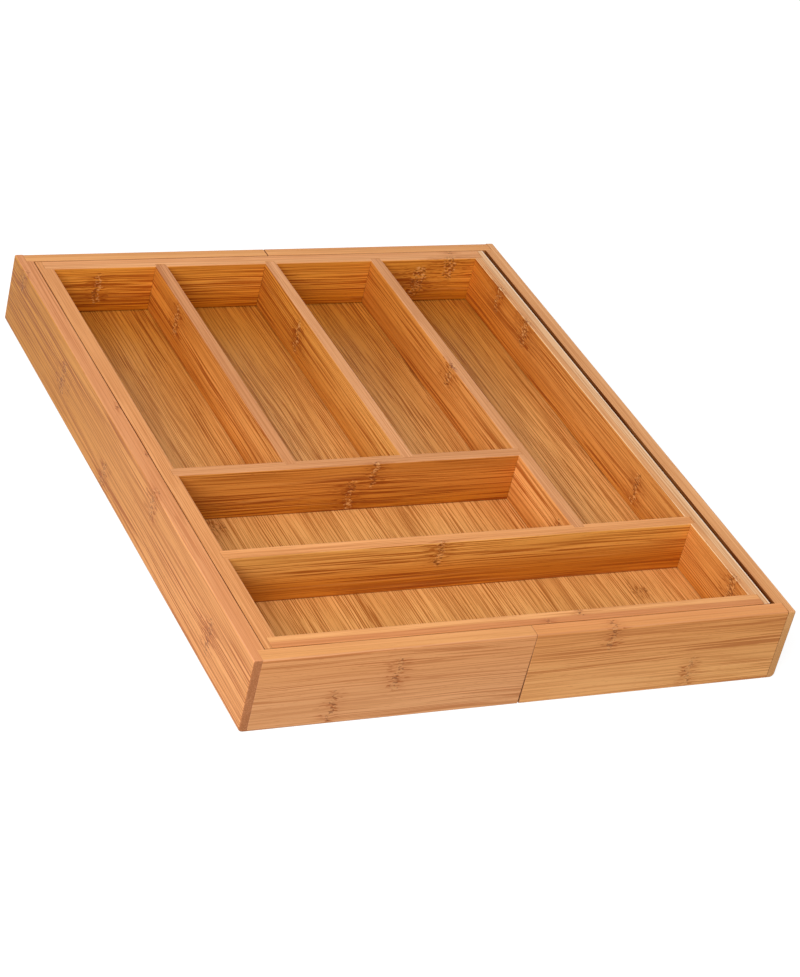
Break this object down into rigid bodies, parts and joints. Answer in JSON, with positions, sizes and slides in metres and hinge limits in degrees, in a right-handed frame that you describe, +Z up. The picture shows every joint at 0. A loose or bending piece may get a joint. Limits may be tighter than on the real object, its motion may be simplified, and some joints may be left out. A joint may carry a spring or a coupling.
{
  "type": "expandable drawer organizer insert",
  "caption": "Rectangular bamboo drawer organizer insert: a divided inner tray between sliding U-shaped side wings that pull outwards to fill a wider drawer.",
  "frame": {"origin": "the middle of the closed organizer's footprint, on the surface that it rests on", "axes": "+X to the right along the wings' slides, +Y to the back, +Z up"},
  "size_m": [0.356, 0.4372, 0.0503],
  "materials": {
    "wing_bamboo": "satin lacquered bamboo, light tan, fine grain along the board with scattered knuckle marks",
    "tray_wall_bamboo": "satin lacquered bamboo, tan to orange brown, fine grain along the board",
    "divider_bamboo": "satin lacquered bamboo, orange brown, fine grain along the board",
    "floor_bamboo": "satin lacquered bamboo panel, golden ochre, strips running front to back",
    "runner_bamboo": "plain sanded bamboo strip"
  },
  "bodies": {
    "tray": {"tray_left_wall": "tray_wall_bamboo", "tray_right_wall": "tray_wall_bamboo", "tray_front_wall": "tray_wall_bamboo", "tray_back_wall": "tray_wall_bamboo", "tray_floor": "floor_bamboo", "front_cross_divider": "divider_bamboo", "middle_cross_divider": "divider_bamboo", "left_divider": "divider_bamboo", "middle_divider": "divider_bamboo", "long_divider": "divider_bamboo", "front_runner": "runner_bamboo", "back_runner": "runner_bamboo"},
    "left_wing": {"left_wing_side_wall": "wing_bamboo", "left_wing_front_rail": "wing_bamboo", "left_wing_back_rail": "wing_bamboo", "left_wing_floor": "floor_bamboo", "left_wing_stop": "runner_bamboo"},
    "right_wing": {"right_wing_side_wall": "wing_bamboo", "right_wing_front_rail": "wing_bamboo", "right_wing_back_rail": "wing_bamboo", "right_wing_floor": "floor_bamboo", "right_wing_stop": "runner_bamboo"}
  },
  "joints": [
    {"name": "left_wing_slide", "type": "slide", "parent": "tray", "child": "left_wing", "axis": [-1, 0, 0], "range_m": [0, 0.1]},
    {"name": "right_wing_slide", "type": "slide", "parent": "tray", "child": "right_wing", "axis": [1, 0, 0], "range_m": [0, 0.1]}
  ]
}
